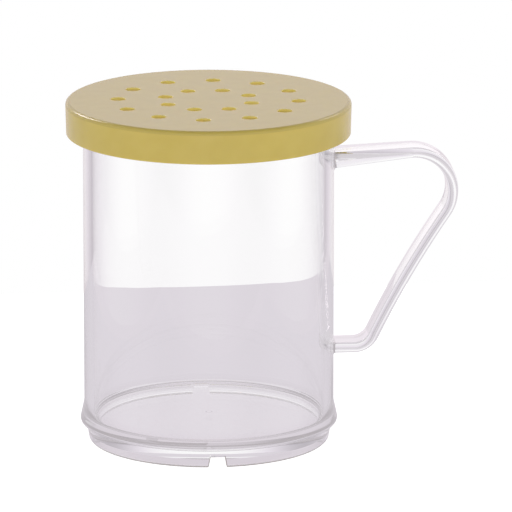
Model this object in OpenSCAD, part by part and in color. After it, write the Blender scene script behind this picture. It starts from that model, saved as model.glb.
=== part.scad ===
// Clear spice shaker: a handled cup with a push-on sprinkle lid.
// Millimetres. The origin is on the cup's axis in the plane of the table,
// +Z is up, +X points to the handle and -Y is the front.

/* [Cup] */
// Outside diameter of the straight wall
wall_d = 72.9; // [68:0.1:74]
// Thickness of the wall
wall_t = 2.65; // [2.2:0.05:3]
// Height of the rim above the table
cup_h = 99.1; // [95:0.1:120]
// Height of the inner floor above the table
floor_z = 7.5; // [7:0.1:9]
// Thickness of the floor
floor_t = 5; // [3:0.1:5.5]
// Radius in the corner between wall and floor
floor_corner_r = 1.2; // [0.5:0.1:2]
// Diameter of the round gate mark in the floor
gate_d = 2; // [1.5:0.1:4]

/* [Base bead] */
// Outside diameter of the bead round the base
bead_d = 75; // [74.5:0.1:78]
// Height of the bead's lower edge above the table
bead_low_z = 5.5; // [5:0.1:6]
// Height at which the bead runs out into the wall
bead_top_z = 11.5; // [10.5:0.1:14]
// Radius of the bead's lower edge
bead_edge_r = 0.7; // [0.3:0.1:0.8]

/* [Foot ring] */
// Outside diameter of the foot ring under the bead
foot_top_d = 71.8; // [70:0.1:73]
// Outside diameter of the foot ring near the table
foot_low_d = 69.9; // [67:0.1:70]
// Radius of the foot ring's outer lower edge
foot_edge_r = 1.2; // [0.5:0.1:1.4]
// Height of the two drain notches
notch_h = 3.8; // [2:0.1:4.2]
// Width of a drain notch at its top
notch_top_w = 4.1; // [3:0.1:6]
// Width of a drain notch at the table, without its round corners
notch_low_w = 5.2; // [4:0.1:7]
// Radius of a drain notch's lower corners
notch_corner_r = 0.5; // [0.2:0.1:1]

/* [Rim] */
// Outside diameter of the thick rim that the lid snaps over
rim_d = 77.8; // [76:0.1:78]
// Height of the thick rim
rim_h = 4.5; // [3:0.1:5]
// Radius of the rim's edges
rim_edge_r = 0.8; // [0.3:0.1:1]
// Radius of the hollow under the rim
rim_hollow_r = 1.8; // [0.8:0.1:2]

/* [Handle] */
// Width of the handle bar, across the view from the side
handle_w = 11.5; // [9:0.1:14]
// Thickness of the handle bar
handle_t = 3.05; // [2.6:0.05:4]
// Thickness of the upper arm where it leaves the wall
handle_root_t = 4.6; // [3.5:0.1:6]
// Distance over which the upper arm thins down
handle_taper = 22.5; // [10:0.5:30]
// Radius of the bar's long edges
handle_edge_r = 1.2; // [0.3:0.05:1.25]
// Height of the upper arm at the wall
upper_root_z = 83.4; // [78:0.1:84]
// Reach of the upper corner from the cup's axis
upper_corner_x = 80.5; // [74:0.1:90]
// Height of the upper corner
upper_corner_z = 87.07; // [82:0.01:88]
// Radius of the upper bend
upper_bend_r = 11.5; // [6:0.1:14]
// Reach of the lower corner from the cup's axis
lower_corner_x = 45.85; // [44:0.05:52]
// Height of the lower arm
lower_arm_z = 27.2; // [20:0.1:40]
// Radius of the lower bend
lower_bend_r = 6.4; // [4:0.1:8]
// How far the slanting grip is hollowed towards the cup
grip_hollow = 0.8; // [0:0.1:2]

/* [Lid] */
// Outside diameter of the lid
lid_d = 83; // [82.5:0.1:88]
// Thickness of the lid's top
lid_t = 1.8; // [1.5:0.1:2.5]
// Height of the skirt below the lid's top plate
skirt_h = 7.85; // [7.5:0.05:8.5]
// Thickness of the skirt where it meets the top
skirt_t = 1.8; // [1.4:0.1:1.8]
// How much narrower the skirt is at its bottom, on the radius
skirt_draft = 0.2; // [0:0.05:0.4]
// Radius of the lid's upper edge
lid_edge_r = 1.2; // [0.5:0.1:1.4]
// Radius of the skirt's lower edges
skirt_edge_r = 0.35; // [0.1:0.05:0.6]

/* [Sprinkle holes] */
// Diameter of a sprinkle hole
hole_d = 4.3; // [2:0.1:5]
// Number of holes in the inner circle
inner_holes = 8; // [4:1:9]
// Diameter of the inner circle of holes
inner_circle_d = 26.2; // [18:0.1:34]
// Number of holes in the outer circle
outer_holes = 12; // [6:1:18]
// Diameter of the outer circle of holes
outer_circle_d = 52.4; // [46:0.1:58]
// Direction of the first hole of both circles, from the handle
hole_turn = 22.8; // [0:0.1:45]

/* [Lid fit] */
// Gap between the lid's top plate and the rim
lid_gap = 0.1; // [0.05:0.05:0.3]
// Gap between the rim and the snap ridge, on the radius
ridge_gap = 0.1; // [0.05:0.05:0.3]
// Height of the snap ridge
ridge_h = 1.6; // [1:0.1:2]
// Gap between the cup's mouth and the sealing ring, on the radius
seal_gap = 0.3; // [0.1:0.05:0.5]
// Thickness of the sealing ring under the lid
seal_t = 1.2; // [0.8:0.1:2]
// Height of the sealing ring
seal_h = 2.2; // [1.5:0.1:4]

/* [Hidden] */
ROUND_FN = 96;
HOLE_FN = 48;
CORNER_STEPS = 6;
EDGE_STEPS = 4;
UPPER_BEND_STEPS = 20;
LOWER_BEND_STEPS = 10;
GRIP_STEPS = 12;
ARM_STEPS = 8;
CLEAR = [0.92, 0.93, 0.96, 0.35];
LID_YELLOW = [0.75, 0.67, 0.37];

// How far a cutting shape runs past the surface that it cuts
cut_past = 1;
// Height of the straight crown of the bead
bead_crown_h = 0.4;
// How far the handle's centre line starts inside the wall
root_depth = 3;
// Drop from the rim's underside to the snap ridge
ridge_drop = 0.4;

wall_r = wall_d / 2;
bore_r = wall_r - wall_t;
floor_r = bore_r - floor_corner_r;
floor_low_z = floor_z - floor_t;
bead_r = bead_d / 2;
bead_crown_z = bead_low_z + bead_edge_r + bead_crown_h;
foot_top_r = foot_top_d / 2;
foot_low_r = foot_low_d / 2;
rim_r = rim_d / 2;
rim_low_z = cup_h - rim_h;
wall_top_z = rim_low_z - rim_hollow_r;
lid_r = lid_d / 2;
plate_z = cup_h + lid_gap;
lid_top_z = plate_z + lid_t;
skirt_low_z = plate_z - skirt_h;
skirt_bore_r = lid_r - skirt_t;
ridge_r = rim_r + ridge_gap;
ridge_top_z = rim_low_z - ridge_drop;
seal_r = bore_r - seal_gap;

// Points of a round stretch in the plane of a profile
function arc(centre, r, from, to, steps = CORNER_STEPS) = [
    for (i = [0:steps])
        let (a = from + (to - from) * i / steps)
            centre + r * [cos(a), sin(a)]
];

function unit(v) = v / norm(v);

// A solid of revolution from the points of half its section
module turned(points) {
    rotate_extrude($fn = ROUND_FN)
        polygon(points);
}

module cup_wall() {
    color(CLEAR)
        turned([
            [bore_r, bead_top_z],
            [wall_r, bead_top_z],
            [wall_r, wall_top_z],
            [bore_r, wall_top_z]
        ]);
}

// The thick rim: a hollow curve leads out from the wall to its underside
module cup_rim() {
    underside_end_r = rim_r - rim_edge_r;
    color(CLEAR)
        turned(concat(
            [[bore_r, wall_top_z]],
            arc([wall_r + rim_hollow_r, wall_top_z], rim_hollow_r, 180, 90),
            arc([underside_end_r, rim_low_z + rim_edge_r], rim_edge_r, -90, 0),
            arc([underside_end_r, cup_h - rim_edge_r], rim_edge_r, 0, 90),
            arc([bore_r + rim_edge_r, cup_h - rim_edge_r], rim_edge_r, 90, 180)
        ));
}

// The thick floor, a disc with the gate's ring mark in the middle of its
// upper face and a shallow recess under it, inside the foot ring
module cup_floor() {
    mark_depth = 0.2;
    mark_w = 0.35;
    color(CLEAR)
        turned([
            [0, floor_low_z],
            [floor_r, floor_low_z],
            [floor_r, floor_z],
            [gate_d / 2, floor_z],
            [gate_d / 2, floor_z - mark_depth],
            [gate_d / 2 - mark_w, floor_z - mark_depth],
            [gate_d / 2 - mark_w, floor_z],
            [0, floor_z]
        ]);
}

// The ring that joins wall and floor: outside it swells to the bead, which
// hangs over the foot ring, and inside it rounds the corner of the cup
module base_bead() {
    color(CLEAR)
        turned(concat(
            [[floor_r, bead_low_z]],
            arc([bead_r - bead_edge_r, bead_low_z + bead_edge_r], bead_edge_r, -90, 0),
            [
                [bead_r, bead_crown_z],
                [wall_r, bead_top_z],
                [bore_r, bead_top_z]
            ],
            arc([floor_r, floor_z + floor_corner_r], floor_corner_r, 0, -90)
        ));
}

// Outline of a drain notch, seen from the front
module notch_outline() {
    half_top = notch_top_w / 2;
    half_low = notch_low_w / 2;
    mouth = half_low + notch_corner_r;
    polygon(concat(
        [[-half_top, notch_h]],
        arc([-mouth, notch_corner_r], notch_corner_r, 0, -90),
        [[-mouth, -cut_past], [mouth, -cut_past]],
        arc([mouth, notch_corner_r], notch_corner_r, -90, -180),
        [[half_top, notch_h]]
    ));
}

// The ring round the floor that the cup stands on, cut by the drain notches
module foot_ring() {
    inner_edge_r = 0.5;
    color(CLEAR)
        difference() {
            turned(concat(
                arc([foot_low_r - foot_edge_r, foot_edge_r], foot_edge_r, -90, 0),
                [[foot_top_r, bead_low_z], [floor_r, bead_low_z]],
                arc([floor_r + inner_edge_r, inner_edge_r], inner_edge_r, 180, 270)
            ));
            rotate([90, 0, 0])
                linear_extrude(height = 2 * bead_d, center = true)
                    notch_outline();
        }
}

// Centre line of the handle in the XZ plane, as points with their distance
// along the bar. Each bend is an arc that touches both of its arms.
upper_slope = (upper_corner_z - upper_root_z) / (upper_corner_x - wall_r);
handle_start = [wall_r - root_depth, upper_root_z - root_depth * upper_slope];
upper_corner = [upper_corner_x, upper_corner_z];
lower_corner = [lower_corner_x, lower_arm_z];
handle_end = [wall_r - root_depth, lower_arm_z];

// Points of the bend that rounds a corner, on the way from a to b
function bend(a, corner, b, r, steps) =
    let (
        u = unit(a - corner),
        v = unit(b - corner),
        half = acos(u * v) / 2,
        centre = corner + unit(u + v) * r / sin(half),
        first = corner + u * r / tan(half) - centre,
        last = corner + v * r / tan(half) - centre,
        from = atan2(first.y, first.x),
        turn = atan2(first.x * last.y - first.y * last.x, first * last)
    )
    arc(centre, r, from, from + turn, steps);

upper_bend = bend(handle_start, upper_corner, lower_corner, upper_bend_r, UPPER_BEND_STEPS);
lower_bend = bend(upper_corner, lower_corner, handle_end, lower_bend_r, LOWER_BEND_STEPS);

// The slanting grip between the bends, hollowed by a shallow parabola
grip_from = upper_bend[len(upper_bend) - 1];
grip_to = lower_bend[0];
grip_side = unit([(grip_to - grip_from).y, (grip_from - grip_to).x]);
grip = [
    for (i = [1:GRIP_STEPS - 1])
        let (u = i / GRIP_STEPS)
            grip_from + (grip_to - grip_from) * u + grip_side * grip_hollow * 4 * u * (1 - u)
];

upper_arm = [
    for (i = [0:ARM_STEPS - 1])
        handle_start + (upper_bend[0] - handle_start) * i / ARM_STEPS
];
handle_path = concat(upper_arm, upper_bend, grip, lower_bend, [handle_end]);

// Half the thickness of the bar at a point of its centre line, which tapers
// away from the upper root
function handle_half_t(p) =
    let (out = norm(p - [wall_r, upper_root_z]))
        (handle_t + (handle_root_t - handle_t) * max(0, 1 - out / handle_taper)) / 2;

// Across the bar at point i of the centre line, pointing out of the loop
function handle_normal(i) =
    let (
        last = len(handle_path) - 1,
        along = unit(handle_path[min(i + 1, last)] - handle_path[max(i - 1, 0)])
    )
    [-along.y, along.x];

// Section of the bar: a rectangle with rounded long edges
function bar_section(half_t) =
    let (x = half_t - handle_edge_r, y = handle_w / 2 - handle_edge_r)
        concat(
            arc([x, y], handle_edge_r, 0, 90, EDGE_STEPS),
            arc([-x, y], handle_edge_r, 90, 180, EDGE_STEPS),
            arc([-x, -y], handle_edge_r, 180, 270, EDGE_STEPS),
            arc([x, -y], handle_edge_r, 270, 360, EDGE_STEPS)
        );

module handle() {
    rings = [
        for (i = [0:len(handle_path) - 1])
            let (p = handle_path[i], n = handle_normal(i))
                [for (q = bar_section(handle_half_t(p))) [p.x + q.x * n.x, q.y, p.y + q.x * n.y]]
    ];
    sides = len(rings[0]);
    last = len(rings) - 1;
    skin = [
        for (i = [0:last - 1], k = [0:sides - 1])
            let (next = (k + 1) % sides, a = i * sides, b = a + sides)
                each [[a + k, b + k, b + next], [a + k, b + next, a + next]]
    ];
    caps = [
        [for (k = [0:sides - 1]) k],
        [for (k = [sides - 1:-1:0]) last * sides + k]
    ];
    color(CLEAR)
        difference() {
            polyhedron([for (ring = rings) each ring], concat(skin, caps));
            cylinder(h = cup_h, r = wall_r, $fn = ROUND_FN);
        }
}

// The middles of the holes in one circle
module on_circle(count, d) {
    for (i = [0:count - 1])
        rotate(hole_turn + i * 360 / count)
            translate([d / 2, 0, 0])
                children();
}

module lid_top() {
    drill_h = lid_t + 2 * cut_past;
    color(LID_YELLOW)
        difference() {
            turned(concat(
                [[0, plate_z], [lid_r, plate_z]],
                arc([lid_r - lid_edge_r, lid_top_z - lid_edge_r], lid_edge_r, 0, 90),
                [[0, lid_top_z]]
            ));
            translate([0, 0, plate_z - cut_past]) {
                on_circle(inner_holes, inner_circle_d)
                    cylinder(h = drill_h, d = hole_d, $fn = HOLE_FN);
                on_circle(outer_holes, outer_circle_d)
                    cylinder(h = drill_h, d = hole_d, $fn = HOLE_FN);
            }
        }
}

module lid_skirt() {
    low_r = lid_r - skirt_draft;
    color(LID_YELLOW)
        turned(concat(
            [[skirt_bore_r, plate_z]],
            arc([skirt_bore_r + skirt_edge_r, skirt_low_z + skirt_edge_r], skirt_edge_r, 180, 270),
            arc([low_r - skirt_edge_r, skirt_low_z + skirt_edge_r], skirt_edge_r, -90, 0),
            [[lid_r, plate_z]]
        ));
}

// The ridge inside the skirt that snaps under the rim
module snap_ridge() {
    crest_share = 0.45;
    crest_half_h = 0.15;
    crest_z = ridge_top_z - ridge_h * crest_share;
    color(LID_YELLOW)
        turned([
            [skirt_bore_r, ridge_top_z],
            [ridge_r, crest_z + crest_half_h],
            [ridge_r, crest_z - crest_half_h],
            [skirt_bore_r, ridge_top_z - ridge_h]
        ]);
}

module sealing_ring() {
    lead_in = 0.3;
    low_z = plate_z - seal_h;
    color(LID_YELLOW)
        turned([
            [seal_r - seal_t, plate_z],
            [seal_r - seal_t, low_z],
            [seal_r - lead_in, low_z],
            [seal_r, low_z + lead_in],
            [seal_r, plate_z]
        ]);
}

cup_wall();
cup_rim();
cup_floor();
base_bead();
foot_ring();
handle();
lid_top();
lid_skirt();
snap_ridge();
sealing_ring();
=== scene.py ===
"""Clear spice shaker: a handled cup with a push-on sprinkle lid.

Metres, +Z up, +X towards the handle, -Y to the front. The origin is on the
cup's axis in the plane of the table.
"""

from math import atan2, cos, pi, radians, sin, tan

import bpy
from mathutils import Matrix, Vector


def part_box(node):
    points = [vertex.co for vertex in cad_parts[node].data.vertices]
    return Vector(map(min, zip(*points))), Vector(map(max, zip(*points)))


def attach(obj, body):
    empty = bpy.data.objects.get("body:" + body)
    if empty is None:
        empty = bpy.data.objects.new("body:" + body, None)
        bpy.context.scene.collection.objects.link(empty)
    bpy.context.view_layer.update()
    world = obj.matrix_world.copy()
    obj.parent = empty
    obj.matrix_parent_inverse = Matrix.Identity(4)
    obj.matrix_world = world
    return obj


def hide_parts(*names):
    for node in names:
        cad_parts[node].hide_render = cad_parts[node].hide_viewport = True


MM = 0.001

# How many steps the round shapes have
CUP_SIDES = 320
LID_SIDES = 256
HOLE_SIDES = 40
ARC_STEP = radians(11)
FLARE_STEPS = 5
UPPER_BEND_STEPS = 28
GRIP_STEPS = 10
LOWER_BEND_STEPS = 16

# Edges sharper than this stay sharp to the eye
SHARP_ANGLE = radians(38)

# Sizes of the cup that no box of the frame gives
WALL_T = 2.65 * MM
FLOOR_CORNER_R = 1.2 * MM
GATE_R = 1.0 * MM
GATE_GROOVE_W = 0.35 * MM
GATE_GROOVE_DEPTH = 0.2 * MM
RIM_H = 4.5 * MM
RIM_EDGE_R = 0.8 * MM
RIM_HOLLOW_R = 1.8 * MM
BEAD_LOW_Z = 5.5 * MM
BEAD_EDGE_R = 0.7 * MM
BEAD_CROWN_H = 0.4 * MM
FOOT_TOP_R = 35.9 * MM
FOOT_LOW_R = 34.95 * MM
FOOT_EDGE_R = 1.2 * MM
FOOT_INNER_EDGE_R = 0.5 * MM

# Drain notches
NOTCH_H = 3.8 * MM
NOTCH_TOP_W = 4.1 * MM
NOTCH_LOW_W = 5.2 * MM
NOTCH_CORNER_R = 0.5 * MM
NOTCH_PAST = 0.3 * MM

# Handle: the corners of its centre line in the XZ plane and their roundings
HANDLE_T = 3.05 * MM
HANDLE_ROOT_T = 4.6 * MM
HANDLE_EDGE_R = 1.5 * MM
HANDLE_EDGE_PROFILE = 0.45
HANDLE_EDGE_STEPS = 10
HANDLE_ROOT_R = 0.6 * MM
ROOT_DEPTH = 1.6 * MM
UPPER_ROOT_Z = 83.4 * MM
UPPER_CORNER = Vector((80.5, 87.07)) * MM
UPPER_BEND_R = 11.5 * MM
LOWER_CORNER = Vector((45.85, 27.2)) * MM
LOWER_BEND_R = 6.4 * MM
GRIP_R = 286 * MM

# Lid
LID_EDGE_R = 1.2 * MM
SKIRT_T = 1.8 * MM
SKIRT_DRAFT = 0.2 * MM
SKIRT_EDGE_R = 0.35 * MM
INNER_CORNER_R = 0.3 * MM
RIDGE_R = 39.0 * MM
RIDGE_CREST_H = 0.3 * MM
SEAL_T = 1.2 * MM
SEAL_LEAD_IN = 0.3 * MM
HOLE_R = 2.15 * MM
HOLE_EDGE_R = 0.3 * MM
HOLE_CIRCLES = ((8, 13.1 * MM), (12, 26.2 * MM))
HOLE_TURN = radians(22.8)

# Camera
CAMERA_AT = (-0.1554, -2.1502, 0.5879)
CAMERA_PITCH = radians(76.1)
CAMERA_YAW = radians(-4.5)
CAMERA_LENS = 536.1
CAMERA_SENSOR = 36

# Soft lamps, two in front and one at each side: directions and strengths
LAMPS = (
    ((0, -0.95, -0.31), 0.68),
    ((0, -0.99, 0.05), 0.62),
    ((-0.97, -0.2, -0.1), 0.52),
    ((0.97, -0.2, -0.1), 0.5),
)

# Bearing of the middle of the white backdrop, from +Y towards +X
BACK_BEARING = radians(6)

# Bright boxes that only reflections see: directions and strengths
BOXES = (((-0.5, 0.7, 0.52), 6), ((0.6, 0.6, 0.55), 2))

# How narrow a lamp's light is, and the cosines of the angles over which a box's edge fades
LAMP_FOCUS = 6
BOX_EDGE = (0.975, 0.988)

# Light that falls on the object from the horizon and from straight overhead
HORIZON_LIGHT = 0.88
OVERHEAD_LIGHT = 0.56

# The studio as clear plastic shows it: in its inner faces, overhead, under the horizon, at corners
INNER_MIRROR = 0.8
OVERHEAD_THROUGH = 0.6
BELOW_THROUGH = 0.75
CORNER_LOSS = 0.5

# The strength at which that view has gone from white to full lavender
LAVENDER_FROM = 0.8

# The studio in the outer faces of both plastics
OVERHEAD_MIRROR = 0.35
BELOW_MIRROR = 0.75

# Stage: the table, and the painted shade and painted rings of light and shade that the cup leaves on it
TABLE_W = 0.35
TABLE_TURN = radians(1.5)
TABLE_DROP = 0.02 * MM
TABLE_NEAR_R = 30 * MM
TABLE_FAR_R = 60 * MM
CAUSTIC_LIGHT_FROM = 36 * MM
CAUSTIC_LIGHT_TO = 47 * MM
CAUSTIC_LIGHT_FADE = 4 * MM
CONTACT_SHADOW_FROM = 32.5 * MM
CONTACT_SHADOW_TO = 36 * MM
CONTACT_SHADOW_FADE = 1 * MM
FRONT_FADE = 5 * MM

# Light paths are told apart by a depth under or over this: none yet, or at least once
ONCE = 0.5

# Clear plastic: its refraction, the melt's waves, where grey is painted on it as shade, and where its
# painted glow is paler
CLEAR_IOR = 1.585
WAVES_PER_M = 70.0
WAVE_H = 0.06 * MM
WAVE_STRENGTH = 0.2
SHADE_LOW_Z = 0.3 * MM
SHADE_HIGH_Z = 0.8 * MM
SHADE_FROM_R = 34 * MM
SHADE_SHARE = 0.8
SHADE_FADE = 0.1 * MM
NOTCH_SHADE_W = 0.2 * MM
NOTCH_SHADE_FROM_R = 33.3 * MM
NOTCH_SHADE_SHARE = 0.7
HANDLE_FROM_X = 37.5 * MM
BY_TABLE_Z = 1.25 * MM

# Yellow plastic: its refraction and gloss, its mottle, and how much light runs in it and how far
YELLOW_IOR = 1.55
YELLOW_ROUGHNESS = (0.2, 0.24)
MOTTLES_PER_M = 160.0
MOTTLE_RANGE = (0.3, 0.7)
YELLOW_INNER_SHARE = 0.5
YELLOW_REACH = (1, 0.8, 0.35)
YELLOW_DEPTH = 2 * MM

# Colours as a screen shows them
YELLOW_DEEP = (187, 167, 80)
YELLOW_PALE = (191, 171, 85)
# Painted light on the walls of the sprinkle holes
YELLOW_PAINTED_HOLE_LIGHT = (220, 200, 112)
# Painted shade on the lid's round upper edge
YELLOW_PAINTED_EDGE_SHADE = (175, 157, 75)
# Painted shade on the foot's lower edge and the notch sides
PAINTED_SHADE_GREY = (150, 138, 130)

# Colours as light
# Painted glow, plain and paler, standing in for the light trapped in the thick clear parts
PAINTED_GLOW_GREY = (0.44, 0.41, 0.43, 1)
PALE_PAINTED_GLOW_GREY = (0.66, 0.63, 0.66, 1)
CLEAR_SHADOW = (0.93, 0.93, 0.94, 1)
TABLE_WHITE = (0.9, 0.9, 0.9, 1)
TABLE_FILL = (0.6, 0.6, 0.6, 1)
# Painted shade: the table seen through the cup is darker near it
TABLE_NEAR_PAINTED_SHADE = (0.68, 0.63, 0.68, 1)
TABLE_FAR = (0.72, 0.68, 0.73, 1)
# Painted light: a bright ring round the foot
TABLE_PAINTED_CAUSTIC = (0.86, 0.83, 0.87, 1)
# Painted shadow: a dark ring under the foot
TABLE_CONTACT_SHADOW = (0.3, 0.28, 0.29, 1)
WHITE = (1, 1, 1, 1)
LAVENDER = (1, 0.94, 1.02, 1)
WARM_WHITE = (1.14, 1.04, 1.09, 1)


# Modelling helpers


def only(piece):
    """Selects this piece alone."""
    bpy.ops.object.select_all(action="DESELECT")
    piece.select_set(True)
    bpy.context.view_layer.objects.active = piece


def rounded(corners):
    """The points of an outline from its corners, each a radius, a height and a rounding."""
    points = []
    for i, (r, z, rounding) in enumerate(corners):
        here = Vector((r, z))
        if not rounding:
            points.append(here)
            continue
        before = (Vector(corners[i - 1][:2]) - here).normalized()
        after = (Vector(corners[i + 1][:2]) - here).normalized()
        half = before.angle(after) / 2
        centre = here + (before + after).normalized() * rounding / sin(half)
        first = here + before * rounding / tan(half) - centre
        last = here + after * rounding / tan(half) - centre
        turn = ccw_turn(first, last)
        steps = max(3, round(abs(turn) / ARC_STEP))
        for k in range(steps + 1):
            a = atan2(first.y, first.x) + turn * k / steps
            points.append(centre + rounding * Vector((cos(a), sin(a))))
    return points


def ccw_turn(a, b):
    """The angle from one flat vector to another, anticlockwise."""
    return atan2(a.x * b.y - a.y * b.x, a.dot(b))


def turned(name, outline, sides):
    """Turns an outline that starts and ends on the axis.

    A ring is extruded and scaled from point to point.
    """
    first = outline[1]
    bpy.ops.object.select_all(action="DESELECT")
    bpy.ops.mesh.primitive_circle_add(vertices=sides, radius=first.x, location=(0, 0, first.y))
    piece = bpy.context.object
    piece.name = name
    bpy.ops.object.transform_apply()
    bpy.ops.object.mode_set(mode="EDIT")
    bpy.ops.mesh.select_all(action="SELECT")
    for here, there in zip(outline[1:-1], outline[2:-1]):
        bpy.ops.mesh.extrude_region_move(TRANSFORM_OT_translate={"value": (0, 0, there.y - here.y)})
        widen = there.x / here.x
        bpy.ops.transform.resize(value=(widen, widen, 1), center_override=(0, 0, there.y))
    close_pole(outline[-1].y - outline[-2].y)
    bpy.ops.mesh.select_all(action="DESELECT")
    bpy.ops.mesh.select_non_manifold()
    close_pole(outline[0].y - first.y)
    bpy.ops.mesh.select_all(action="SELECT")
    bpy.ops.mesh.normals_make_consistent(inside=False)
    bpy.ops.object.mode_set(mode="OBJECT")
    return piece


def close_pole(rise):
    """Draws the selected ring together to a point on the axis."""
    bpy.ops.mesh.extrude_region_move(TRANSFORM_OT_translate={"value": (0, 0, rise)})
    bpy.ops.mesh.merge(type="CENTER")


def combine(piece, other, operation):
    """Joins another closed shape to a piece or cuts it out, and removes it."""
    only(piece)
    step = piece.modifiers.new("combine", "BOOLEAN")
    step.operation = operation
    step.solver = "EXACT"
    step.object = other
    bpy.ops.object.modifier_apply(modifier=step.name)
    bpy.data.objects.remove(other)


def smooth(piece, sharp_angle):
    """Smooth shading that keeps flat faces flat and edges above an angle sharp."""
    only(piece)
    bpy.ops.object.shade_smooth_by_angle(angle=sharp_angle)
    step = piece.modifiers.new("flats", "WEIGHTED_NORMAL")
    step.keep_sharp = True
    bpy.ops.object.modifier_apply(modifier=step.name)


# Cup


def cup_outline():
    """Half the section of the cup, from the middle of its floor over the rim to its underside."""
    wall_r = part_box("cup_wall")[1].x
    bore_r = wall_r - WALL_T
    rim_r, _, rim_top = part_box("cup_rim")[1]
    rim_low = rim_top - RIM_H
    bead_r, _, bead_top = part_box("base_bead")[1]
    floor_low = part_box("cup_floor")[0].z
    floor_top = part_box("cup_floor")[1].z
    groove_low = floor_top - GATE_GROOVE_DEPTH
    foot_inner = bore_r - FLOOR_CORNER_R
    return rounded([
        (0, floor_top, 0),
        (GATE_R - GATE_GROOVE_W, floor_top, 0),
        (GATE_R - GATE_GROOVE_W, groove_low, 0),
        (GATE_R, groove_low, 0),
        (GATE_R, floor_top, 0),
        (bore_r, floor_top, FLOOR_CORNER_R),
        (bore_r, rim_top, RIM_EDGE_R),
        (rim_r, rim_top, RIM_EDGE_R),
        (rim_r, rim_low, RIM_EDGE_R),
        (wall_r, rim_low, RIM_HOLLOW_R),
        (wall_r, bead_top, 0),
        (bead_r, BEAD_LOW_Z + BEAD_EDGE_R + BEAD_CROWN_H, 0),
        (bead_r, BEAD_LOW_Z, BEAD_EDGE_R),
        (FOOT_TOP_R, BEAD_LOW_Z, 0),
        (FOOT_LOW_R, 0, FOOT_EDGE_R),
        (foot_inner, 0, FOOT_INNER_EDGE_R),
        (foot_inner, floor_low, 0),
        (0, floor_low, 0),
    ])


def notch_block():
    """A block with the section of a drain notch, from the foot's recess out to the front."""
    inner_y = NOTCH_PAST - (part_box("cup_wall")[1].x - WALL_T - FLOOR_CORNER_R)
    outer_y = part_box("base_bead")[0].y - MM
    middle = (0, (inner_y + outer_y) / 2, NOTCH_H)
    bpy.ops.object.select_all(action="DESELECT")
    bpy.ops.mesh.primitive_plane_add(size=1, location=middle)
    block = bpy.context.object
    block.scale = (NOTCH_TOP_W, inner_y - outer_y, 1)
    bpy.ops.object.transform_apply()
    bpy.ops.object.mode_set(mode="EDIT")
    bpy.ops.mesh.select_all(action="SELECT")
    width, height = NOTCH_TOP_W, NOTCH_H
    stations = []
    for k in range(FLARE_STEPS):
        a = pi / 2 * k / (FLARE_STEPS - 1)
        flared = NOTCH_LOW_W + 2 * NOTCH_CORNER_R * (1 - cos(a))
        stations.append((flared, NOTCH_CORNER_R * (1 - sin(a))))
    stations.append((stations[-1][0], -MM))
    for new_width, new_height in stations:
        bpy.ops.mesh.extrude_region_move(TRANSFORM_OT_translate={"value": (0, 0, new_height - height)})
        bpy.ops.transform.resize(value=(new_width / width, 1, 1), center_override=(0, 0, new_height))
        width, height = new_width, new_height
    bpy.ops.mesh.select_all(action="SELECT")
    bpy.ops.mesh.normals_make_consistent(inside=False)
    bpy.ops.object.mode_set(mode="OBJECT")
    return block


def bend_centre(before, corner, after, r):
    """The middle of the arc that rounds a corner of the handle's centre line."""
    u = (before - corner).normalized()
    v = (after - corner).normalized()
    return corner + (u + v).normalized() * r / sin(u.angle(v) / 2)


def grip_centre(upper, lower):
    """The middle of the grip's shallow arc, which touches both bends from outside the loop."""
    to_upper = GRIP_R + UPPER_BEND_R
    to_lower = GRIP_R + LOWER_BEND_R
    gap = (lower - upper).length
    unit = (lower - upper) / gap
    along = (to_upper**2 - to_lower**2 + gap**2) / (2 * gap)
    out = (to_upper**2 - along**2) ** 0.5
    return upper + unit * along + Vector((-unit.y, unit.x)) * out


def draw_out(wall_point, along, stations, size, here):
    """Extrudes the end of the bar through stations.

    Each station is a distance from the wall, a thickness and a width.
    """
    for distance, thickness, width in stations:
        there = wall_point + along * distance
        step = there - here
        bpy.ops.mesh.extrude_region_move(TRANSFORM_OT_translate={"value": (step.x, 0, step.y)})
        stretch = thickness / size[0]
        bpy.ops.transform.resize(
            value=(stretch, width / size[1], stretch), center_override=(there.x, 0, there.y))
        size = (thickness, width)
        here = there


def swing(centre, here, there, steps):
    """Spins the end of the bar round a bend."""
    turn = ccw_turn(here - centre, there - centre)
    bpy.ops.mesh.spin(steps=steps, angle=turn, center=(centre.x, 0, centre.y), axis=(0, 1, 0))


def root_stations(thickness, width):
    """Stations of a root from inside the wall outwards, flared like a fillet."""
    stations = [(-ROOT_DEPTH, thickness + 2 * HANDLE_ROOT_R, width + 2 * HANDLE_ROOT_R)]
    for k in range(FLARE_STEPS):
        a = pi / 2 * (1 - k / (FLARE_STEPS - 1))
        grow = 2 * HANDLE_ROOT_R * (1 - cos(a))
        stations.append((HANDLE_ROOT_R * (1 - sin(a)), thickness + grow, width + grow))
    return stations


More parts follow.
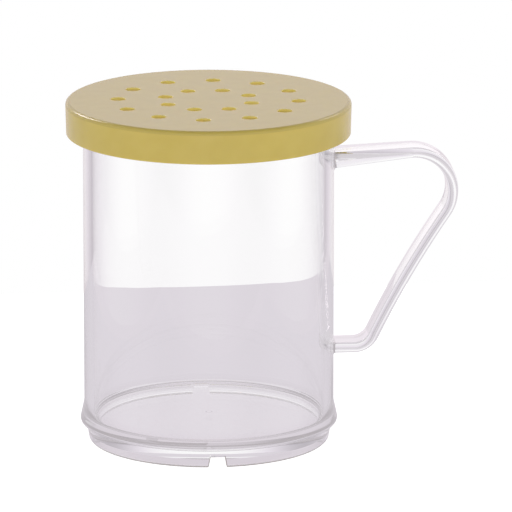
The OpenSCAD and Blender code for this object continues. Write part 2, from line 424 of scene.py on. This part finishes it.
def handle_bar():
    """The handle, swept from inside the wall round its bends and back."""
    wall_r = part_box("cup_wall")[1].x
    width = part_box("handle")[1].y * 2
    root = Vector((wall_r, UPPER_ROOT_Z))
    lower_root = Vector((wall_r, LOWER_CORNER.y))
    arm = (UPPER_CORNER - root).normalized()
    upper = bend_centre(root, UPPER_CORNER, LOWER_CORNER, UPPER_BEND_R)
    lower = bend_centre(UPPER_CORNER, LOWER_CORNER, lower_root, LOWER_BEND_R)
    grip = grip_centre(upper, lower)
    arm_length = (upper - root).dot(arm)
    arm_end = root + arm * arm_length
    grip_from = upper + (grip - upper).normalized() * UPPER_BEND_R
    grip_to = lower + (grip - lower).normalized() * LOWER_BEND_R
    lower_end = Vector((lower.x, LOWER_CORNER.y))

    start = root - arm * ROOT_DEPTH
    bpy.ops.object.select_all(action="DESELECT")
    facing = pi / 2 - atan2(arm.y, arm.x)
    bpy.ops.mesh.primitive_plane_add(size=1, location=(start.x, 0, start.y), rotation=(0, facing, 0))
    bar = bpy.context.object
    bar.name = "handle_bar"
    bar.scale = (HANDLE_T, width, 1)
    bpy.ops.object.transform_apply()
    bpy.ops.object.mode_set(mode="EDIT")
    bpy.ops.mesh.select_all(action="SELECT")
    bpy.ops.mesh.bevel(
        offset=HANDLE_EDGE_R, segments=HANDLE_EDGE_STEPS, profile=HANDLE_EDGE_PROFILE, affect="VERTICES")
    root_first, *root_rest = root_stations(HANDLE_ROOT_T, width)
    stretch = root_first[1] / HANDLE_T
    bpy.ops.transform.resize(
        value=(stretch, root_first[2] / width, stretch), center_override=(start.x, 0, start.y))
    draw_out(root, arm, root_rest + [(arm_length, HANDLE_T, width)], root_first[1:], start)
    swing(upper, arm_end, grip_from, UPPER_BEND_STEPS)
    swing(grip, grip_from, grip_to, GRIP_STEPS)
    swing(lower, grip_to, lower_end, LOWER_BEND_STEPS)
    lower_stations = root_stations(HANDLE_T, width)[::-1]
    draw_out(lower_root, Vector((1, 0)), lower_stations, (HANDLE_T, width), lower_end)
    bpy.ops.mesh.select_all(action="SELECT")
    bpy.ops.mesh.normals_make_consistent(inside=False)
    bpy.ops.object.mode_set(mode="OBJECT")
    follow_wall(bar, wall_r)
    return bar


def follow_wall(bar, wall_r):
    """Moves the flared roots in at the sides of the bar, so that they follow the round wall."""
    margin = 0.01 * MM
    reach = wall_r + HANDLE_ROOT_R + margin
    for v in bar.data.vertices:
        if v.co.x < reach:
            v.co.x -= wall_r - (wall_r**2 - v.co.y**2) ** 0.5


def make_cup():
    cup = turned("cup", cup_outline(), CUP_SIDES)
    for turn in (0, pi):
        block = notch_block()
        block.rotation_euler.z = turn
        bpy.ops.object.transform_apply()
        combine(cup, block, "DIFFERENCE")
    combine(cup, handle_bar(), "UNION")
    smooth(cup, SHARP_ANGLE)
    return cup


# Lid


def lid_outline():
    """Half the section of the lid, from the middle of its top over the skirt to its underside."""
    lid_r, _, lid_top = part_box("lid_top")[1]
    plate_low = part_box("lid_top")[0].z
    skirt_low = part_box("lid_skirt")[0].z
    skirt_bore = lid_r - SKIRT_T
    ridge_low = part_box("snap_ridge")[0].z
    ridge_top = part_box("snap_ridge")[1].z
    crest = (ridge_low + ridge_top) / 2
    seal_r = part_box("sealing_ring")[1].x
    seal_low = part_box("sealing_ring")[0].z
    return rounded([
        (0, lid_top, 0),
        (HOLE_R, lid_top, 0),
        (lid_r, lid_top, LID_EDGE_R),
        (lid_r, plate_low, 0),
        (lid_r - SKIRT_DRAFT, skirt_low, SKIRT_EDGE_R),
        (skirt_bore, skirt_low, SKIRT_EDGE_R),
        (skirt_bore, ridge_low, 0),
        (RIDGE_R, crest - RIDGE_CREST_H / 2, 0),
        (RIDGE_R, crest + RIDGE_CREST_H / 2, 0),
        (skirt_bore, ridge_top, 0),
        (skirt_bore, plate_low, INNER_CORNER_R),
        (seal_r, plate_low, INNER_CORNER_R),
        (seal_r, seal_low + SEAL_LEAD_IN, 0),
        (seal_r - SEAL_LEAD_IN, seal_low, 0),
        (seal_r - SEAL_T, seal_low, 0),
        (seal_r - SEAL_T, plate_low, INNER_CORNER_R),
        (HOLE_R, plate_low, 0),
        (0, plate_low, 0),
    ])


def hole_pins():
    """The pins that leave the sprinkle holes, flared at the lid's faces to round the edges."""
    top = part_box("lid_top")[1].z
    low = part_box("lid_top")[0].z
    wide = HOLE_R + HOLE_EDGE_R
    edge_rounding = 0.9 * HOLE_EDGE_R
    leave = 0.05 * MM
    pin = turned("hole_pin", rounded([
        (0, low - MM, 0),
        (wide, low - MM, 0),
        (wide, low - leave, 0),
        (HOLE_R, low, edge_rounding),
        (HOLE_R, top, edge_rounding),
        (wide, top + leave, 0),
        (wide, top + MM, 0),
        (0, top + MM, 0),
    ]), HOLE_SIDES)
    pins = []
    for count, r in HOLE_CIRCLES:
        for i in range(count):
            a = HOLE_TURN + 2 * pi * i / count
            copy = pin.copy()
            copy.data = pin.data.copy()
            copy.location = (r * cos(a), r * sin(a), 0)
            bpy.context.scene.collection.objects.link(copy)
            pins.append(copy)
    bpy.data.objects.remove(pin)
    bpy.ops.object.select_all(action="DESELECT")
    for copy in pins:
        copy.select_set(True)
    bpy.context.view_layer.objects.active = pins[0]
    bpy.ops.object.join()
    bpy.ops.object.transform_apply()
    return bpy.context.object


def make_lid():
    lid = turned("lid", lid_outline(), LID_SIDES)
    combine(lid, hole_pins(), "DIFFERENCE")
    smooth(lid, SHARP_ANGLE)
    return lid


# Materials


class Shader:
    """A material or world whose nodes are added one at a time."""

    def __init__(self, owner):
        owner.use_nodes = True
        self.tree = owner.node_tree
        self.tree.nodes.clear()

    def add(self, kind, **inputs):
        """Adds a node and sets or links its inputs, whose names are written with _ for a space."""
        node = self.tree.nodes.new("ShaderNode" + kind)
        for name, value in inputs.items():
            self.feed(node.inputs[name.replace("_", " ")], value)
        return node

    def feed(self, socket, value):
        if isinstance(value, bpy.types.NodeSocket):
            self.tree.links.new(value, socket)
        else:
            socket.default_value = value

    def maths(self, operation, *values):
        node = self.tree.nodes.new("ShaderNodeMath")
        node.operation = operation
        for socket, value in zip(node.inputs, values):
            self.feed(socket, value)
        return node.outputs[0]

    def spread(self, value, low, high, to_low, to_high):
        """Maps a value from one range to another, and holds it there."""
        node = self.tree.nodes.new("ShaderNodeMapRange")
        for socket, v in zip(node.inputs, (value, low, high, to_low, to_high)):
            self.feed(socket, v)
        return node.outputs[0]

    def band(self, value, low, high, fade):
        """1 between two values and 0 beyond them, with soft edges."""
        rise = self.spread(value, low, low + fade, 0, 1)
        fall = self.spread(value, high - fade, high, 1, 0)
        return self.maths("MULTIPLY", rise, fall)

    def off_axis(self, axes):
        """The distance from the cup's axis."""
        squares = [self.maths("MULTIPLY", axis, axis) for axis in (axes[0], axes[1])]
        return self.maths("SQRT", self.maths("ADD", *squares))

    def facing(self, direction, aim):
        """How closely a direction points at an aim: 1 straight at it, 0 across it."""
        node = self.add("VectorMath", Vector=direction)
        node.operation = "DOT_PRODUCT"
        self.feed(node.inputs[1], Vector(aim).normalized())
        return node.outputs["Value"]

    def blend(self, share, first, second):
        """Mixes two colours."""
        node = self.tree.nodes.new("ShaderNodeMix")
        node.data_type = "RGBA"
        for index, v in ((0, share), (6, first), (7, second)):
            self.feed(node.inputs[index], v)
        return node.outputs[2]

    def mix(self, share, first, second):
        """Mixes two shaders."""
        node = self.tree.nodes.new("ShaderNodeMixShader")
        for socket, v in zip(node.inputs, (share, first, second)):
            self.feed(socket, v)
        return node.outputs[0]


def colour(shown):
    """A linear colour from the 0 to 255 values that a screen shows."""
    return (*[((c / 255 + 0.055) / 1.055) ** 2.4 for c in shown], 1)


def clear_plastic():
    """Polished clear polycarbonate with the faint waves that the melt leaves as it flows."""
    material = bpy.data.materials.new("clear_polycarbonate")
    s = Shader(material)
    place = s.add("TexCoord").outputs["Object"]
    path = s.add("LightPath").outputs
    axes = s.add("SeparateXYZ", Vector=place).outputs
    waves = s.add("TexNoise", Vector=place, Scale=WAVES_PER_M, Detail=1.0)
    bump = s.add("Bump", Strength=WAVE_STRENGTH, Distance=WAVE_H, Height=waves.outputs[0])
    body = s.add("BsdfPrincipled", Roughness=0.0, IOR=CLEAR_IOR, Normal=bump.outputs[0])
    body.inputs["Base Color"].default_value = WHITE
    body.inputs["Transmission Weight"].default_value = 1
    # Painted shade on the foot's lower edge and the notch sides
    seen = foot_painted_shade(s, axes, path, body.outputs[0])
    # Painted glow in place of the light trapped in the thick parts
    seen = painted_trapped_light(s, axes, path, seen)
    through = s.add("BsdfTransparent", Color=CLEAR_SHADOW).outputs[0]
    lets_light_by = s.maths("MAXIMUM", path["Is Shadow Ray"], path["Is Diffuse Ray"])
    s.add("OutputMaterial", Surface=s.mix(lets_light_by, seen, through))
    return material


def foot_painted_shade(s, axes, path, body):
    """Grey painted as shade on the foot's lower outer edge and on the sides of its notches.

    It is painted only where it is seen from outside the plastic.
    """
    radius = s.off_axis(axes)
    low = s.spread(axes[2], SHADE_LOW_Z, SHADE_HIGH_Z, 1, 0)
    outer = s.spread(radius, SHADE_FROM_R - SHADE_FADE, SHADE_FROM_R + SHADE_FADE, 0, SHADE_SHARE)
    edge = s.maths("MULTIPLY", low, outer)

    flare = (NOTCH_LOW_W - NOTCH_TOP_W) / 2 / (NOTCH_H - NOTCH_CORNER_R)
    reach = NOTCH_TOP_W / 2 + flare * NOTCH_H + NOTCH_SHADE_W
    leaned = s.maths("ADD", s.maths("ABSOLUTE", axes[0]), s.maths("MULTIPLY", axes[2], flare))
    beside = s.spread(leaned, reach, reach + SHADE_FADE / 2, NOTCH_SHADE_SHARE, 0)
    under_roof = s.spread(axes[2], NOTCH_H - 2 * SHADE_FADE, NOTCH_H - SHADE_FADE, 1, 0)
    ring_r = NOTCH_SHADE_FROM_R
    on_ring = s.spread(radius, ring_r - SHADE_FADE, ring_r + SHADE_FADE, 0, 1)
    notch = s.maths("MULTIPLY", beside, s.maths("MULTIPLY", under_roof, on_ring))

    from_outside = s.maths("LESS_THAN", path["Transmission Depth"], ONCE)
    share = s.maths("MULTIPLY", s.maths("MAXIMUM", edge, notch), from_outside)
    # Painted shade: grey on the foot's lower edge and the notch sides
    shade_paint = s.add("BsdfDiffuse", Color=colour(PAINTED_SHADE_GREY))
    return s.mix(share, body, shade_paint.outputs[0])


def painted_trapped_light(s, axes, path, body):
    """Painted light: a grey glow in place of the light that goes round and round in the thick parts
    before it comes out, paler on the handle and near the table.
    """
    trapped = s.spread(path["Glossy Depth"], 2.5, 3.5, 0, 1)
    on_handle = s.spread(axes[0], HANDLE_FROM_X - 0.5 * MM, HANDLE_FROM_X + 0.5 * MM, 0, 1)
    at_table = s.spread(axes[2], BY_TABLE_Z - 0.25 * MM, BY_TABLE_Z + 0.25 * MM, 1, 0)
    pale = s.maths("MAXIMUM", on_handle, at_table)
    # Painted light: the plastic glows grey here
    painted_glow = s.add("Emission", Color=s.blend(pale, PAINTED_GLOW_GREY, PALE_PAINTED_GLOW_GREY), Strength=1.0)
    return s.mix(trapped, body, painted_glow.outputs[0])


def yellow_plastic():
    """Mustard yellow plastic, faintly mottled, that lets a little light into it, with painted shade on
    its round edge and painted light on its hole walls.
    """
    material = bpy.data.materials.new("mustard_plastic")
    s = Shader(material)
    place = s.add("TexCoord").outputs["Object"]
    mottle = s.add("TexNoise", Vector=place, Scale=MOTTLES_PER_M, Detail=2.0).outputs[0]
    tone = s.blend(s.spread(mottle, *MOTTLE_RANGE, 0, 1), colour(YELLOW_DEEP), colour(YELLOW_PALE))
    axes = s.add("SeparateXYZ", Vector=place).outputs
    # Painted shade: a deeper yellow on the round upper edge
    tone = s.blend(round_edge_painted_shade(s, axes), tone, colour(YELLOW_PAINTED_EDGE_SHADE))
    # Painted light: a paler yellow on the walls of the sprinkle holes
    tone = s.blend(hole_wall_painted_light(s, axes), tone, colour(YELLOW_PAINTED_HOLE_LIGHT))
    roughness = s.spread(mottle, *MOTTLE_RANGE, *YELLOW_ROUGHNESS)
    body = s.add("BsdfPrincipled", Base_Color=tone, Roughness=roughness, IOR=YELLOW_IOR)
    body.inputs["Subsurface Weight"].default_value = YELLOW_INNER_SHARE
    body.inputs["Subsurface Radius"].default_value = YELLOW_REACH
    body.inputs["Subsurface Scale"].default_value = YELLOW_DEPTH
    s.add("OutputMaterial", Surface=body.outputs[0])
    return material


def round_edge_painted_shade(s, axes):
    """1 on the lid's round upper edge, where a deeper yellow is painted as shade."""
    lid_r, _, lid_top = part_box("lid_top")[1]
    fade = 0.1 * MM
    high = s.spread(axes[2], lid_top - LID_EDGE_R - fade, lid_top - LID_EDGE_R + fade, 0, 1)
    outer = s.spread(s.off_axis(axes), lid_r - LID_EDGE_R - fade, lid_r - LID_EDGE_R + fade, 0, 1)
    return s.maths("MULTIPLY", high, outer)


def hole_wall_painted_light(s, axes):
    """1 on the walls of the sprinkle holes, where a paler yellow is painted as the light that comes
    through the lid.
    """
    plate_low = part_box("lid_top")[0].z
    plate_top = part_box("lid_top")[1].z
    between_faces = s.band(axes[2], plate_low + 0.05 * MM, plate_top - 0.01 * MM, 0.02 * MM)
    holes_end = HOLE_CIRCLES[1][1] + 2 * HOLE_R
    return s.maths("MULTIPLY", between_faces, s.maths("LESS_THAN", s.off_axis(axes), holes_end))


def table_top():
    """A white table that keeps a soft shadow; through the clear cup it shows pale lavender grey, with
    painted light and shade.
    """
    material = bpy.data.materials.new("table_top")
    s = Shader(material)
    path = s.add("LightPath").outputs
    lit = s.add("BsdfDiffuse", Color=TABLE_WHITE)
    fill = s.add("Emission", Color=TABLE_FILL, Strength=path["Is Camera Ray"])
    own = s.add("AddShader")
    s.feed(own.inputs[0], lit.outputs[0])
    s.feed(own.inputs[1], fill.outputs[0])
    tint = s.add("Emission", Color=table_tint_and_painted_light(s, path), Strength=1.0)
    seen_past = s.maths("MAXIMUM", path["Is Transmission Ray"], path["Is Glossy Ray"])
    s.add("OutputMaterial", Surface=s.mix(seen_past, own.outputs[0], tint.outputs[0]))
    return material


def table_tint_and_painted_light(s, path):
    """Lavender grey, with painted shade deeper under the cup, a painted ring of light round the foot and
    a painted ring of shadow under it at the front.
    """
    axes = s.add("SeparateXYZ", Vector=s.add("TexCoord").outputs["Object"]).outputs
    distance = s.off_axis(axes)
    straight = s.maths("LESS_THAN", path["Glossy Depth"], ONCE)
    # Painted shade: darker nearer the cup
    tint = s.blend(s.spread(distance, TABLE_NEAR_R, TABLE_FAR_R, 0, 1), TABLE_NEAR_PAINTED_SHADE, TABLE_FAR)
    # Painted light: a bright ring round the foot, where the base would focus light
    painted_caustic = s.band(distance, CAUSTIC_LIGHT_FROM, CAUSTIC_LIGHT_TO, CAUSTIC_LIGHT_FADE)
    tint = s.blend(s.maths("MULTIPLY", painted_caustic, straight), tint, TABLE_PAINTED_CAUSTIC)
    # Painted shadow: a dark ring under the foot, only at the front
    contact_shadow = s.band(distance, CONTACT_SHADOW_FROM, CONTACT_SHADOW_TO, CONTACT_SHADOW_FADE)
    front = s.spread(axes[1], -FRONT_FADE, FRONT_FADE, 1, 0)
    return s.blend(s.maths("MULTIPLY", contact_shadow, s.maths("MULTIPLY", front, straight)), tint, TABLE_CONTACT_SHADOW)


# Stage, light and camera


def make_table():
    bpy.ops.object.select_all(action="DESELECT")
    bpy.ops.mesh.primitive_plane_add(size=TABLE_W, location=(0, 0, -TABLE_DROP))
    table = bpy.context.object
    table.name = "table"
    table.rotation_euler.z = TABLE_TURN
    bpy.ops.object.transform_apply()
    table.data.materials.append(table_top())


def studio_world():
    """White round about and dimmer overhead; each kind of ray sees it in its own way."""
    world = bpy.data.worlds.new("studio")
    bpy.context.scene.world = world
    s = Shader(world)
    path = s.add("LightPath").outputs
    direction = s.add("TexCoord").outputs["Generated"]
    axes = s.add("SeparateXYZ", Vector=direction).outputs
    inside = s.maths("GREATER_THAN", path["Transmission Depth"], ONCE)
    through = seen_through(s, axes)
    outer = seen_mirrored(s, direction, axes[2])
    mirrored = s.add("Mix", Factor=inside, A=outer, B=INNER_MIRROR).outputs[0]

    strength = lighting(s, direction, axes[2])
    for kind, value in (("Glossy", mirrored), ("Transmission", through), ("Camera", 1.0)):
        strength = s.add("Mix", Factor=path["Is %s Ray" % kind], A=strength, B=value).outputs[0]

    dim = s.maths("MULTIPLY", s.spread(through, LAVENDER_FROM, 1, 1, 0), path["Is Transmission Ray"])
    outer_face = s.maths("MULTIPLY", path["Is Glossy Ray"], s.maths("SUBTRACT", 1, inside))
    tint = s.blend(outer_face, s.blend(dim, WHITE, LAVENDER), WARM_WHITE)
    light = s.add("Background", Color=tint, Strength=strength)
    s.add("OutputWorld", Surface=light.outputs[0])


def seen_through(s, axes):
    """The studio through clear plastic: white straight behind, greyer at the corners and overhead."""
    bearing = s.maths("SUBTRACT", s.maths("ARCTAN2", axes[0], axes[1]), BACK_BEARING)
    corner = s.maths("ABSOLUTE", s.maths("SINE", s.maths("MULTIPLY", bearing, 2)))
    grey = s.maths("MULTIPLY", s.maths("POWER", corner, 3), CORNER_LOSS)
    up = s.spread(axes[2], 0.05, 0.8, 1, OVERHEAD_THROUGH)
    down = s.spread(axes[2], -0.7, -0.32, BELOW_THROUGH, 1)
    return s.maths("MULTIPLY", s.maths("SUBTRACT", 1, grey), s.maths("MULTIPLY", up, down))


def seen_mirrored(s, direction, z):
    """The studio in shiny faces: white at eye level, dimmer above and below, with bright boxes."""
    above = s.spread(z, 0.3, 0.9, 1, OVERHEAD_MIRROR)
    strength = s.maths("MULTIPLY", above, s.spread(z, -0.05, 0, BELOW_MIRROR, 1))
    for box, power in BOXES:
        lit = s.spread(s.facing(direction, box), *BOX_EDGE, 0, power)
        strength = s.maths("ADD", strength, lit)
    return strength


def lighting(s, direction, z):
    """The light that falls on the object: soft all round, with lamps in front and at the sides."""
    strength = s.spread(z, 0, 1, HORIZON_LIGHT, OVERHEAD_LIGHT)
    for lamp, power in LAMPS:
        spot = s.maths("POWER", s.maths("MAXIMUM", s.facing(direction, lamp), 0), LAMP_FOCUS)
        strength = s.maths("ADD", strength, s.maths("MULTIPLY", spot, power))
    return strength


def make_camera():
    data = bpy.data.cameras.new("camera")
    data.lens = CAMERA_LENS
    data.sensor_width = CAMERA_SENSOR
    data.clip_end = 10
    camera = bpy.data.objects.new("camera", data)
    camera.location = CAMERA_AT
    camera.rotation_euler = (CAMERA_PITCH, 0, CAMERA_YAW)
    bpy.context.scene.collection.objects.link(camera)
    bpy.context.scene.camera = camera


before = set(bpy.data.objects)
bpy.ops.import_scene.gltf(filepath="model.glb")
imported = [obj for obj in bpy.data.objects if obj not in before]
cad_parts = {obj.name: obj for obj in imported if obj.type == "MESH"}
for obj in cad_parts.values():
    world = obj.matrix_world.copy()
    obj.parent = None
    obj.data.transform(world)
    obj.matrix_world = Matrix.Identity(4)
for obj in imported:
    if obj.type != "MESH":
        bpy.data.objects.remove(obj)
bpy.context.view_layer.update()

make_camera()
bpy.context.scene.view_settings.view_transform = "Standard"
studio_world()
make_table()

cup = make_cup()
cup.data.materials.clear()
cup.data.materials.append(clear_plastic())
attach(cup, "cup")
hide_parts("cup_wall", "cup_rim", "cup_floor", "base_bead", "foot_ring", "handle")

lid = make_lid()
lid.data.materials.clear()
lid.data.materials.append(yellow_plastic())
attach(lid, "lid")
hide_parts("lid_top", "lid_skirt", "snap_ridge", "sealing_ring")
